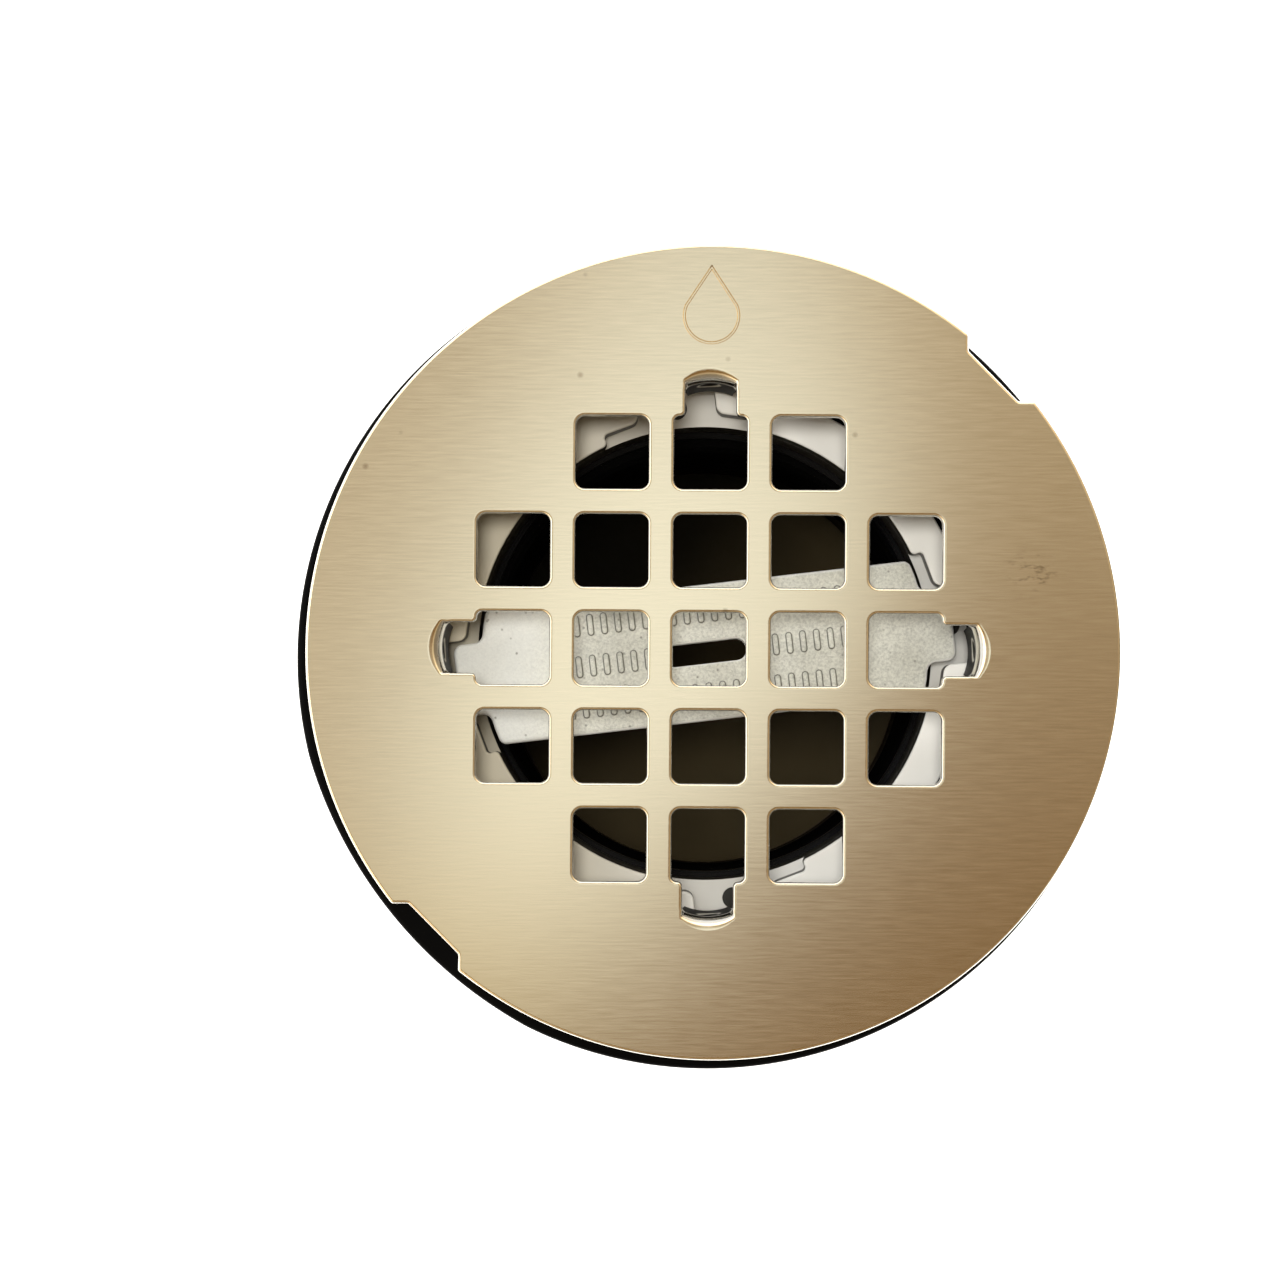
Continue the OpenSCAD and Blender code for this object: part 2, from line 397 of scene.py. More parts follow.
class Nodes:
    """Short calls for the nodes of a tree."""

    def __init__(self, tree, place):
        self.tree = tree
        self.place = self.node("TexCoord").outputs[place]

    def node(self, kind, **inputs):
        """A shader node of that kind with values or links on its inputs, by name."""
        node = self.tree.nodes.new("ShaderNode" + kind)
        for key, value in inputs.items():
            self.put(node.inputs[key.replace("_", " ")], value)
        return node

    def put(self, socket, value):
        """Sets or links one input."""
        if isinstance(value, bpy.types.NodeSocket):
            self.tree.links.new(value, socket)
        else:
            socket.default_value = value

    def stretched(self, *scale):
        """Coordinates scaled by (x, y, z), per metre."""
        return self.node("Mapping", Vector=self.place, Scale=scale).outputs["Vector"]

    def axis(self, letter, vector=None):
        """One coordinate of a place, in metres, or of another vector."""
        return self.node("SeparateXYZ", Vector=vector or self.place).outputs[letter]

    def below(self, low, high):
        """1 below one height in millimetres, fading to 0 at another."""
        return self.span(self.axis("Z"), 1.0, 0.0, low * MM, high * MM)

    def noise(self, scale, detail=3.0, rough=0.5, vector=None, distortion=0.0):
        """A noise value."""
        node = self.node("TexNoise", Vector=vector or self.place, Scale=scale, Detail=detail,
                         Roughness=rough, Distortion=distortion)
        return node.outputs["Fac"]

    def ramp(self, value, *stops):
        """A colour ramp with (position, colour or grey) stops."""
        node = self.node("ValToRGB", Fac=value)
        elements = node.color_ramp.elements
        while len(elements) < len(stops):
            elements.new(0.5)
        for element, (position, colour) in zip(elements, stops):
            element.position = position
            element.color = (*colour, 1) if isinstance(colour, tuple) else (colour, colour, colour, 1)
        return node.outputs["Color"]

    def span(self, value, low, high, from_low=0.3, from_high=0.7):
        """A value mapped from one range to another, and held inside it."""
        node = self.node("MapRange", Value=value, From_Min=from_low, From_Max=from_high,
                         To_Min=low, To_Max=high)
        return node.outputs["Result"]

    def soft(self, value, start, end, low, high):
        """A value eased from low at start to high at end."""
        node = self.node("MapRange", Value=value, From_Min=start, From_Max=end,
                         To_Min=low, To_Max=high)
        node.interpolation_type = "SMOOTHSTEP"
        return node.outputs["Result"]

    def blend(self, mode, amount, one, two):
        """Two colours mixed."""
        node = self.node("Mix")
        node.data_type = "RGBA"
        node.blend_type = mode
        sockets = [s for s in node.inputs if s.enabled]
        for socket, value in zip(sockets, (amount, one, two)):
            self.put(socket, (*value, 1) if isinstance(value, tuple) else value)
        return [s for s in node.outputs if s.enabled][0]

    def scaled(self, one, two):
        """Two values or colours multiplied."""
        return self.blend("MULTIPLY", 1.0, one, two)

    def math(self, operation, one, two=0.0):
        """One arithmetic step."""
        node = self.node("Math")
        node.operation = operation
        self.put(node.inputs[0], one)
        self.put(node.inputs[1], two)
        return node.outputs[0]

    def product(self, one, two):
        """Two numbers multiplied."""
        return self.math("MULTIPLY", one, two)

    def length(self, one, two):
        """The length of the vector that has these two sides."""
        return self.math("SQRT", self.math("ADD", self.product(one, one), self.product(two, two)))

    def bump(self, height, distance, strength=1.0):
        """A bump of that distance in metres."""
        node = self.node("Bump", Height=height, Distance=distance, Strength=strength)
        return node.outputs["Normal"]

    def distance(self, point):
        """How far a place is from a point in millimetres on the plate's top face."""
        node = self.node("VectorMath")
        node.operation = "DISTANCE"
        self.put(node.inputs[0], self.place)
        node.inputs[1].default_value = (point.x * MM, point.y * MM, PLATE_TOP * MM)
        return node.outputs["Value"]

    def spots(self, scale, size, share):
        """Small round spots, 1 inside and 0 outside, in that share of the cells."""
        cells = self.node("TexVoronoi", Vector=self.place, Scale=scale, Randomness=1.0)
        near = self.ramp(cells.outputs["Distance"], (0.0, 1.0), (size, 0.0))
        chosen = self.ramp(cells.outputs["Color"], (1 - share, 0.0), (1 - share * 0.9, 1.0))
        return self.product(near, chosen)


class Material(Nodes):
    """A material made of one principled shader and the nodes that feed it."""

    def __init__(self, name):
        self.data = bpy.data.materials.new(name)
        self.data.use_nodes = True
        super().__init__(self.data.node_tree, "Object")
        self.shader = self.tree.nodes["Principled BSDF"]

    def set(self, **inputs):
        """Sets or links the shader's inputs."""
        for key, value in inputs.items():
            self.put(self.shader.inputs[key.replace("_", " ")], value)


def brushed_metal():
    """Champagne bronze sheet: straight brushing, stains, a painted highlight on its curved edges, painted
    shade on the snap tab faces and a painted highlight ringing each snap bump.
    """
    m = Material("brushed_champagne")
    fine = m.noise(1.0, 3.0, 0.6, m.stretched(200, 3800, 200))
    broad = m.noise(1.0, 3.0, 0.6, m.stretched(50, 1900, 50))
    cloud = m.noise(28.0, 4.0, 0.55)
    lines = m.blend("MIX", 0.2, fine, broad)
    tone = m.ramp(lines, (0.30, (0.80, 0.655, 0.425)), (0.70, (0.92, 0.762, 0.507)))
    base = m.scaled(tone, m.ramp(cloud, (0.35, 0.97), (0.65, 1.0)))
    base = m.blend("MIX", stains(m), base, STAIN)
    # painted highlight: the curved edges of the plate lightened towards white
    base = m.blend("MIX", painted_edge_highlight(m), base, EDGE_HIGHLIGHT)
    fold = PLATE_TOP - TAB_BEND
    # painted shade: below the bend the snap tab faces turn near black, dull and non-metallic
    drawn = m.below(fold - 0.3, fold + 0.4)
    base = m.blend("MIX", drawn, base, TAB_SHADE)
    # painted highlight: a light ring round each snap bump on the dark tab faces
    base = m.blend("MIX", m.product(drawn, bump_rim_highlight(m)), base, BUMP_RIM_HIGHLIGHT)
    rough = m.span(lines, BRUSH_ROUGH - 0.02, BRUSH_ROUGH + 0.02)
    tangent = m.node("Tangent")
    tangent.direction_type = "UV_MAP"
    tangent.uv_map = "brush"
    m.set(Base_Color=base, Metallic=m.math("SUBTRACT", 1.0, drawn), Anisotropic=BRUSH_ANISOTROPY,
          Roughness=m.math("MAXIMUM", rough, m.product(drawn, TAB_ROUGH)), Specular_IOR_Level=0.15,
          Tangent=tangent.outputs["Tangent"], Normal=m.bump(lines, 0.0000015))
    return m.data


def stains(m):
    """Where the plate is stained: small specks all over and one streaky smear."""
    specks = m.product(m.spots(150.0, 0.085, 0.5), 0.85)
    streaks = m.noise(1.0, 5.0, 0.75, m.stretched(420, 1100, 420))
    close = m.soft(m.distance(SMEAR_AT), 0.2 * SMEAR_R * MM, SMEAR_R * MM, 1.0, 0.0)
    return m.math("MAXIMUM", specks, m.product(m.span(streaks, 0.0, 0.65, 0.53, 0.67), close))


def painted_edge_highlight(m):
    """Where the plate curves away from level and gets a painted highlight, the engraved mark left out."""
    upright = m.axis("Z", m.node("NewGeometry").outputs["Normal"])
    off_mark = m.soft(m.distance(MARK_AT), 0.65 * DROP_H * MM, 0.78 * DROP_H * MM, 0.0, 0.9)
    return m.product(m.span(upright, 1.0, 0.0, 0.72, 0.97), off_mark)


def bump_rim_highlight(m):
    """Where a painted highlight rings a tab's snap bump, 1 on the ring and 0 elsewhere."""
    centre = PLATE_CENTRE + PATTERN_SHIFT
    ways = [m.math("ABSOLUTE", m.math("SUBTRACT", m.axis(letter), value * MM))
            for letter, value in zip("XY", centre)]
    across = m.math("MINIMUM", *ways)
    down = m.math("SUBTRACT", m.axis("Z"), (PLATE_TOP - BUMP_DROP) * MM)
    off = m.math("ABSOLUTE", m.math("SUBTRACT", m.length(across, down), 0.8 * BUMP_R * MM))
    return m.span(off, 1.0, 0.0, 0.05 * MM, 0.3 * MM)


def black_plastic(name="black_abs", gloss=0.3, tone=0.0015):
    """Black moulded plastic with a faint orange-peel skin."""
    m = Material(name)
    skin = m.noise(700.0, 2.0, 0.5)
    cloud = m.noise(45.0, 4.0, 0.6)
    scuff = m.noise(1.0, 4.0, 0.7, m.stretched(260, 260, 900))
    base = m.ramp(cloud, (0.3, (tone, tone, tone * 1.02)), (0.7, (tone * 1.7, tone * 1.65, tone * 1.6)))
    m.set(Base_Color=base, Roughness=m.span(scuff, gloss, gloss + 0.16), Specular_IOR_Level=0.03,
          Normal=m.bump(skin, 0.00002, 0.35))
    return m.data


def grey_plastic():
    """Light grey moulded plastic with flow marks, a painted warm shade to the west, painted shade low in
    the notches and painted dark shade on its walls.
    """
    m = Material("nut_plastic")
    cloud = m.noise(60.0, 5.0, 0.6, distortion=0.6)
    skin = m.noise(1500.0, 2.0, 0.5)
    depth = m.axis("Z")
    base = m.ramp(cloud, (0.3, (0.87, 0.86, 0.83)), (0.7, (0.93, 0.92, 0.89)))
    # painted shade: warm and darker towards the west side of the nut
    base = m.blend("MIX", m.soft(m.axis("X"), -0.030, 0.012, 1.0, 0.0), base, NUT_WEST_SHADE)
    # painted shade: darker towards the notch floors
    base = m.scaled(base, m.soft(depth, NOTCH_FLOOR * MM, (NOTCH_FLOOR + 1.0) * MM, 0.78, 1.0))
    # painted shade: the walls and bore below the nut's top turn dark, the notch floors left out
    off_floor = m.span(m.math("ABSOLUTE", m.math("SUBTRACT", depth, NOTCH_FLOOR * MM)), 0.0, 1.0,
                       0.03 * MM, 0.12 * MM)
    walls = m.product(m.below(NUT_HIGH.z - 0.5, NUT_HIGH.z - 0.3), off_floor)
    base = m.blend("MIX", walls, base, NUT_SHADE)
    m.set(Base_Color=base, Roughness=m.span(cloud, 0.34, 0.5), Normal=m.bump(skin, 0.000015, 0.5))
    return m.data


def cast_zinc():
    """Die-cast zinc, grainy and pitted, with painted light at its west end, worn edges partly painted as a
    highlight, and painted shade round the feet of its raised bars.
    """
    m = Material("cast_zinc")
    grain = m.noise(2600.0, 5.0, 0.75)
    cloud = m.noise(160.0, 5.0, 0.65, distortion=0.4)
    pits = m.spots(900.0, 0.22, 0.35)
    west = m.axis("X")
    tone = m.ramp(cloud, (0.3, (0.82, 0.82, 0.74)), (0.7, (0.95, 0.95, 0.87)))
    base = m.scaled(tone, m.ramp(grain, (0.35, 0.66), (0.6, 1.0)))
    # painted light: the key is lighter and paler at its west end and a little darker elsewhere
    base = m.scaled(base, m.soft(west, -0.026, -0.012, 1.0, 0.86))
    base = m.blend("MIX", m.soft(west, -0.028, -0.014, 0.75, 0.0), base, ZINC_WEST_LIGHT)
    base = m.blend("MIX", pits, base, ZINC_PIT)
    # worn edges, partly a painted highlight: everything below the key's face is lightened towards white
    base = m.blend("MIX", m.below(KEY_FACE - 0.12, KEY_FACE - 0.02), base, ZINC_WORN_AND_HIGHLIGHT)
    # painted shade: dark round the feet of the raised bars, where they meet the face
    on_bars = m.span(m.axis("Z"), 0.0, 0.8, (KEY_FACE + 0.01) * MM, (KEY_FACE + 0.08) * MM)
    base = m.blend("MIX", m.product(on_bars, m.below(KEY_FACE + 0.22, KEY_FACE + 0.33)), base, ZINC_CREASE_SHADE)
    m.set(Base_Color=base, Metallic=0.15, Roughness=m.span(grain, 0.42, 0.62),
          Normal=m.bump(m.math("SUBTRACT", grain, pits), 0.00006, 0.8))
    return m.data


def rubber(name="gasket_rubber", tone=0.001):
    """Matte black rubber with a dusty bloom."""
    m = Material(name)
    dust = m.noise(130.0, 6.0, 0.7)
    skin = m.noise(1800.0, 3.0, 0.6)
    base = m.ramp(dust, (0.35, (tone, tone, tone)), (0.75, (tone * 2.0, tone * 1.9, tone * 1.8)))
    m.set(Base_Color=base, Roughness=m.span(dust, 0.55, 0.8), Specular_IOR_Level=0.03,
          Normal=m.bump(skin, 0.00003, 0.5))
    return m.data


def pressed_fibre():
    """Tan pressed fibre sheet with flecks."""
    m = Material("pressed_fibre")
    fibres = m.noise(1.0, 5.0, 0.7, m.stretched(900, 2600, 900))
    flecks = m.noise(1500.0, 4.0, 0.8)
    base = m.ramp(fibres, (0.3, (0.30, 0.21, 0.12)), (0.7, (0.52, 0.38, 0.24)))
    base = m.blend("MULTIPLY", 0.6, base, m.ramp(flecks, (0.35, 0.55), (0.6, 1.0)))
    m.set(Base_Color=base, Roughness=m.span(flecks, 0.75, 0.95), Normal=m.bump(fibres, 0.00008, 0.7))
    return m.data


# ---- strainer

SHEET = 1.2
HOLE_PITCH = 13.0
HOLE_W = 9.65
HOLE_CORNER = 1.2
SLOT_HALF = 3.375
SLOT_CORNER = 0.9
JUNCTION_R = 0.68
SLOT_SIDE_CORNER = 0.75
TAB_ARC = 8.0
TAB_CENTRE = 27.5
TAB_BEND = 1.7
TAB_UNDER = 0.5
TAB_DROP = 10.0
TAB_FADE = 0.4
TAB_FOOT = 0.35
TAB_ROLL_SIDE = 0.75
TAB_ROLL_MID = 1.7
TAB_ROLL_HALF = 3.6
BUMP_R = 1.8
BUMP_OUT = 0.35
BUMP_DROP = 4.2
NOTCH_DEPTH = 1.9
NOTCH_HALF = 4.7
NOTCH_CORNER = 0.55
PATTERN_SHIFT = Vector((-0.54, 0.46))
PATTERN_TURN = -0.4
MARK_AT = Vector((-0.5, 46.0))
SMEAR_AT = Vector((43.0, 11.0))
SMEAR_R = 5.0
DROP_R = 3.6
DROP_H = 10.0
DROP_FOOT = 40.5
GROOVE_HALF = 0.2
GROOVE_DEPTH = 0.16
PUNCH_ROLL = 0.38
PUNCH_SINK = 0.28
FLAT_EDGE = 0.08
LOW_EDGE = 0.1
HOLE_ROWS = [(-1, 0, 1), (-2, -1, 0, 1, 2), (-2, -1, 0, 1, 2), (-2, -1, 0, 1, 2), (-1, 0, 1)]
STRAINER_LOW, STRAINER_HIGH = box_mm("strainer")
PLATE_CENTRE = ((STRAINER_LOW + STRAINER_HIGH) / 2).xy
PLATE_R = (STRAINER_HIGH.x - STRAINER_LOW.x) / 2
PLATE_TOP = STRAINER_HIGH.z


def on_plate(outline, turn=0.0, shift=(0, 0)):
    """An outline of the pierced pattern in its place on the plate."""
    local = outline.placed(turn, Vector(shift) + PATTERN_SHIFT)
    return local.placed(PATTERN_TURN, PLATE_CENTRE)


def keyhole():
    """The last hole of the middle row with the slot that opens out of it along +X."""
    centre, h = 2 * HOLE_PITCH, HOLE_W / 2
    across = math.asin((SLOT_HALF - SLOT_CORNER) / (TAB_ARC - SLOT_CORNER))
    touch = Vector((TAB_CENTRE + TAB_ARC * math.cos(across), TAB_ARC * math.sin(across)))
    corner_x = touch.x - (SLOT_HALF - touch.y) * math.tan(across)
    crown_x = TAB_CENTRE + TAB_ARC / math.cos(across)
    side = [(centre - h, -h, HOLE_CORNER), (centre + h, -h, SLOT_SIDE_CORNER),
            (centre + h, -SLOT_HALF, JUNCTION_R), (corner_x, -SLOT_HALF, SLOT_CORNER)]
    mirrored = [(x, -y, r) for x, y, r in side[::-1]]
    outline = filleted([*side, (crown_x, 0, TAB_ARC), *mirrored], True, 3.0, 0.6)
    for i, p in enumerate(outline.points):
        outline.across[i] = p.y
        if p.x > touch.x - 1.2:
            outline.weights[i] = smooth((SLOT_HALF - 0.01 - abs(p.y)) / TAB_FADE)
    return outline


def punched_rows(wall_steps=14, flat_steps=13):
    """(offset, height) rows down a punched edge, rolled over on top."""
    rows = [(PUNCH_ROLL + FLAT_EDGE, PLATE_TOP)]
    rows += [(x, PLATE_TOP - z) for x, z in edge_round(PUNCH_ROLL, PUNCH_SINK, 8)]
    low = PLATE_TOP - SHEET
    wall_top, wall_low = PLATE_TOP - PUNCH_SINK, low + LOW_EDGE
    rows += [(0, wall_top + (wall_low - wall_top) * k / wall_steps) for k in range(1, wall_steps + 1)]
    rows += [(LOW_EDGE * (1 - math.cos(a)), wall_low - LOW_EDGE * math.sin(a)) for a in (0.5, 1.0, 1.57)]
    rows += [(LOW_EDGE + 0.5 * k / flat_steps, low) for k in range(1, flat_steps + 1)]
    return rows


def tab_rows(across):
    """(offset, height) rows round the bend of a snap tab, down its face and up its back."""
    roll = TAB_ROLL_SIDE + (TAB_ROLL_MID - TAB_ROLL_SIDE) * max(0.0, 1 - (across / TAB_ROLL_HALF) ** 2)
    rows = [(roll + FLAT_EDGE, PLATE_TOP)]
    rows += [(x, PLATE_TOP - z) for x, z in edge_round(roll, TAB_BEND, 8)]
    half = SHEET / 2
    wall_top, wall_low = PLATE_TOP - TAB_BEND, PLATE_TOP - TAB_DROP + TAB_FOOT
    rows += [(0, wall_top + (wall_low - wall_top) * k / 14) for k in range(1, 15)]
    rows += [(half * (1 - math.cos(a)), wall_low - TAB_FOOT * math.sin(a)) for a in (0.7, 1.57, 2.44)]
    heel = PLATE_TOP - SHEET - TAB_UNDER
    rows += [(SHEET, wall_low + (heel - wall_low) * k / 9) for k in range(10)]
    rows += [(SHEET + TAB_UNDER * (1 - math.cos(a)), heel + TAB_UNDER * math.sin(a))
             for a in (0.5, 1.0, 1.57)]
    return [(x + snap_bump(across, z), z) for x, z in rows]


def snap_bump(across, height):
    """How far the round snap bump is pressed out there."""
    away = math.hypot(across, height - PLATE_TOP + BUMP_DROP) / BUMP_R
    return BUMP_OUT * smooth(1.15 * (1 - away))


def slot_edge(outline, index):
    """The rows at one point of a keyhole: a punched edge, a snap tab or the turn between them."""
    weight = outline.weights[index]
    return [((1 - weight) * a[0] + weight * b[0], (1 - weight) * a[1] + weight * b[1])
            for a, b in zip(punched_rows(), tab_rows(outline.across[index]))]


def rim():
    """The plate's own outline with its two pry notches."""
    inner = PLATE_R - NOTCH_DEPTH
    start = 7.2
    flare = notch_flare(inner, start)
    corners = []
    for turn in (45, 225):
        for x, y in ((flare.x, -flare.y), (inner, -NOTCH_HALF), (inner, NOTCH_HALF), (flare.x, flare.y)):
            corners.append((*turned(Vector((x, y)), turn), NOTCH_CORNER))
        corners += arc(PLATE_R, turn + start, turn + 180 - start, 1.0)
    outline = filleted(corners, False, 15.0, 1.2)
    return outline.placed(PATTERN_TURN, PLATE_CENTRE)


def notch_flare(inner, start):
    """Where a notch's flared side meets the tangent of the rim at the angle start."""
    end, way = polar(PLATE_R, start), polar(1, start - 90)
    t = (end.x - end.y - inner + NOTCH_HALF) / (way.y - way.x)
    return end + way * t


def drop_mark():
    """The outline of a plain water drop, in the pattern's own frame."""
    bulb = [(DROP_R * math.sin(math.radians(a)), DROP_FOOT + DROP_R - DROP_R * math.cos(math.radians(a)), 0)
            for a in range(0, 118, 8)]
    right = bulb[1:]
    left = [(-x, y, r) for x, y, r in right[::-1]]
    return filleted([bulb[0], *right, (0, DROP_FOOT + DROP_H, 0), *left], False, 9.0, 0.6)


def strainer():
    """The pierced plate with its four drawn snap tabs, one piece of sheet."""
    solid = Solid()
    tops, lows = [], []
    plain = punched_rows(1, 1)
    hole = rounded_box(HOLE_W / 2, HOLE_W / 2, HOLE_CORNER, 9.0, 1.2)
    for row, columns in enumerate(HOLE_ROWS):
        for column in columns:
            if abs(column) + abs(row - 2) == 2 and 0 in (column, row - 2):
                continue
            place = on_plate(hole, 0, (column * HOLE_PITCH, (row - 2) * HOLE_PITCH))
            rings = solid.sweep(place, plain)
            tops.append(rings[0])
            lows.append(rings[-1])
    slot = keyhole()
    for turn in (0, 90, 180, 270):
        rings = solid.sweep(on_plate(slot, turn), lambda i: slot_edge(slot, i))
        tops.append(rings[0])
        lows.append(rings[-1])
    rings = solid.sweep(rim(), edge_rows(PLATE_TOP, PLATE_TOP - SHEET, 0.42, 0.12))
    tops.append(rings[0])
    lows.append(rings[-1])
    groove = [(GROOVE_HALF + 0.06, PLATE_TOP), (GROOVE_HALF, PLATE_TOP),
              (0.4 * GROOVE_HALF, PLATE_TOP - GROOVE_DEPTH)]
    rings = solid.sweep(on_plate(drop_mark()), [(-x, z) for x, z in groove] + groove[::-1])
    solid.fill(*tops, rings[0], rings[-1])
    solid.fill(*lows)
    return solid.build("strainer_plate", "strainer", "strainer", "strainer_metal", brushed_metal())


# ---- drain body

BODY_TOP = box_mm("drain_body")[1].z
FLANGE_R = 54.6
FLANGE_T = 3.8
RIM_ROUND = 0.8
RELIEF_ARC = 60.5
RELIEF_EDGE = 54.05
RELIEF_ANGLE = 39.0
SPIGOT_R = 40.75
OUT_GROOVE = 1.05
RECESS_R = 38.6
NUT_BORE = 37.75
IN_GROOVE = 0.8
SOCKET_R = 34.9
LIP_R = 31.1
NUT_LOW, NUT_HIGH = box_mm("compression_nut")
NUT_CENTRE = ((NUT_LOW + NUT_HIGH) / 2).xy
GASKET_LOW, GASKET_HIGH = box_mm("compression_gasket")
SOCKET_TOP = 33.8
GASKET_BORE = 30.2
GASKET_R = 34.6
SLIP_BORE = 30.8
SLIP_R = 33.7


def flange_edge(inset):
    """The radius of the flange at each angle: a circle with two shallow relief arcs."""
    off = RELIEF_ARC - RELIEF_EDGE

    def radius(angle):
        away = angle - math.radians(RELIEF_ANGLE)
        reach = math.sqrt((RELIEF_ARC - inset) ** 2 - (off * math.sin(away)) ** 2)
        return min(FLANGE_R - inset, reach - off * abs(math.cos(away)))

    return radius


def drain_body():
    """Flange, threaded spigot, gasket socket and pipe guide, one black moulding."""
    root = SPIGOT_R - OUT_GROOVE
    under = BODY_TOP - FLANGE_T
    recess_floor = NUT_HIGH.z
    rows = [(LIP_R + 0.8, 0), (root - 1.0, 0), (root - 0.3, 0.3), (root, 1.0), (root, 3.0)]
    rows += thread_rows(5.0, under - 2.2, root, OUT_GROOVE)
    rows += [(root, under - 2.0), (SPIGOT_R - 0.05, under - 1.7), (SPIGOT_R - 0.05, under - 0.5),
             (SPIGOT_R + 0.1, under - 0.15), (SPIGOT_R + 0.45, under)]
    rows += [(FLANGE_R - 4, under), (flange_edge(0.4), under), (flange_edge(0.12), under + 0.12),
             (flange_edge(0.02), under + 0.4), (flange_edge(0.02), BODY_TOP - RIM_ROUND)]
    rows += [(flange_edge(0.02 + x), BODY_TOP - z) for x, z in edge_round(RIM_ROUND, RIM_ROUND, 6)[::-1]]
    rows += [(FLANGE_R - 4, BODY_TOP), (RECESS_R + 0.55, BODY_TOP), (RECESS_R + 0.15, BODY_TOP - 0.12),
             (RECESS_R, BODY_TOP - 0.5), (RECESS_R, 54.0), (RECESS_R, recess_floor + 0.5),
             (RECESS_R - 0.15, recess_floor + 0.12), (RECESS_R - 0.45, recess_floor),
             (NUT_BORE + 0.15, recess_floor), (NUT_BORE, recess_floor - 0.2)]
    inner = thread_rows(SOCKET_TOP + 0.4, recess_floor - 0.6, NUT_BORE, IN_GROOVE)
    rows += inner[::-1]
    rows += [(NUT_BORE, SOCKET_TOP), (SOCKET_R + 0.3, SOCKET_TOP), (SOCKET_R, SOCKET_TOP - 0.5),
             (SOCKET_R, GASKET_LOW.z + 0.3), (SOCKET_R - 0.3, GASKET_LOW.z), (LIP_R + 0.4, GASKET_LOW.z),
             (LIP_R, GASKET_LOW.z - 0.4), (LIP_R, 8.0), (LIP_R, 0.6), (LIP_R + 0.2, 0.15)]
    solid = lathe(rows, 288)
    return solid.build("body_moulding", "drain_body", "drain_body", "body_plastic", black_plastic())


def gasket():
    """The rubber sleeve with shallow ribs that seals on the pipe."""
    inner, outer = GASKET_BORE, GASKET_R
    low, high = GASKET_LOW.z, GASKET_HIGH.z
    rows = [(inner + 0.5, low), (outer - 0.5, low), (outer - 0.12, low + 0.12), (outer, low + 0.5),
            (outer, high - 0.5), (outer - 0.12, high - 0.12), (outer - 0.5, high), (inner + 1.2, high),
            (inner + 0.6, high - 0.25), (inner + 0.2, high - 1.0)]
    ribs = 6
    for k in range(ribs * 8, -1, -1):
        z = low + 1.2 + (high - low - 2.4) * k / (ribs * 8)
        rows.append((inner + 0.45 * smooth(abs(math.sin(math.pi * k / 8)) * 1.5), z))
    rows += [(inner + 0.1, low + 0.3)]
    obj = lathe(rows).build("gasket_sleeve", "drain_body", "compression_gasket", "gasket_rubber", rubber())
    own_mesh(obj)
    return obj


def slip_ring():
    """The thin ring that lets the nut turn without dragging the gasket."""
    low, high = box_mm("slip_ring")
    inner, outer = SLIP_BORE, SLIP_R
    mid = (inner + outer) / 2
    rows = [(inner + 0.25, low.z), (outer - 0.25, low.z), (outer, low.z + 0.25), (outer, high.z - 0.25),
            (outer - 0.25, high.z), (mid + 0.6, high.z), (mid + 0.45, high.z - 0.12),
            (mid - 0.45, high.z - 0.12), (mid - 0.6, high.z), (inner + 0.3, high.z), (inner, high.z - 0.3),
            (inner, low.z + 0.25)]
    solid = lathe(rows)
    solid.verts = [(x + NUT_CENTRE.x, y + NUT_CENTRE.y, z) for x, y, z in solid.verts]
    return solid.build("slip_washer", "slip_ring", "slip_ring", "ring_plastic",
                       black_plastic("slip_plastic", 0.22, 0.006))


# ---- compression nut

NUT_R = 36.6
NUT_BORE_R = 31.5
NUT_NOTCH = 3.5
NOTCH_FLOOR = NUT_HIGH.z - NUT_NOTCH
LEDGE_R = 33.0
LEDGE_ANGLE = 18.5
LEDGE_STUB = 3.4
CHANNEL_HALF = 5.45
KEY_ANGLE = 6.6
NUT_EDGE = 0.3
EJECTOR_R = 1.5
EJECTOR_AT = 34.2
KEY_TURNS = [KEY_ANGLE + a for a in (0, 90, 180, 270)]


def castle_block():
    """The outline of one block between two notches, in the first quadrant, from its outer arc."""
    mouth = math.degrees(math.asin(CHANNEL_HALF / NUT_R))
    mouth_x = math.sqrt(NUT_R ** 2 - CHANNEL_HALF ** 2)
    inner_mouth = math.sqrt(LEDGE_R ** 2 - CHANNEL_HALF ** 2)
    side = [(CHANNEL_HALF, mouth_x, 0.6), (CHANNEL_HALF, inner_mouth, 1.3),
            (*polar(LEDGE_R, 90 - LEDGE_ANGLE), 0.6), (*polar(NUT_BORE_R, 90 - LEDGE_ANGLE), 0.7)]
    other = [(y, x, r) for x, y, r in side[::-1]]
    outer = arc(NUT_R, mouth, 90 - mouth)[1:-1]
    bore = arc(NUT_BORE_R, 90 - LEDGE_ANGLE - LEDGE_STUB, LEDGE_ANGLE + LEDGE_STUB)
    return filleted([other[-1], *outer, *side, *bore, *other[:-1]], False, 12.0, 1.2)


def nut_thread(point, height):
    """How far the nut's outer wall lies inside its crest there. The thread ends under the notches."""
    away = point - NUT_CENTRE
    start = smooth((height - NUT_LOW.z) / 1.5)
    end = smooth((NOTCH_FLOOR - height) / 1.2)
    ridge = tooth(height / PITCH - math.atan2(away.y, away.x) / (2 * math.pi))
    return IN_GROOVE * end * (1 - start * ridge)


def nut_angle(solid, vertex):
    """The angle of a vertex about the nut's centre in degrees."""
    x, y, _ = solid.verts[vertex]
    return math.degrees(math.atan2(y - NUT_CENTRE.y, x - NUT_CENTRE.x))


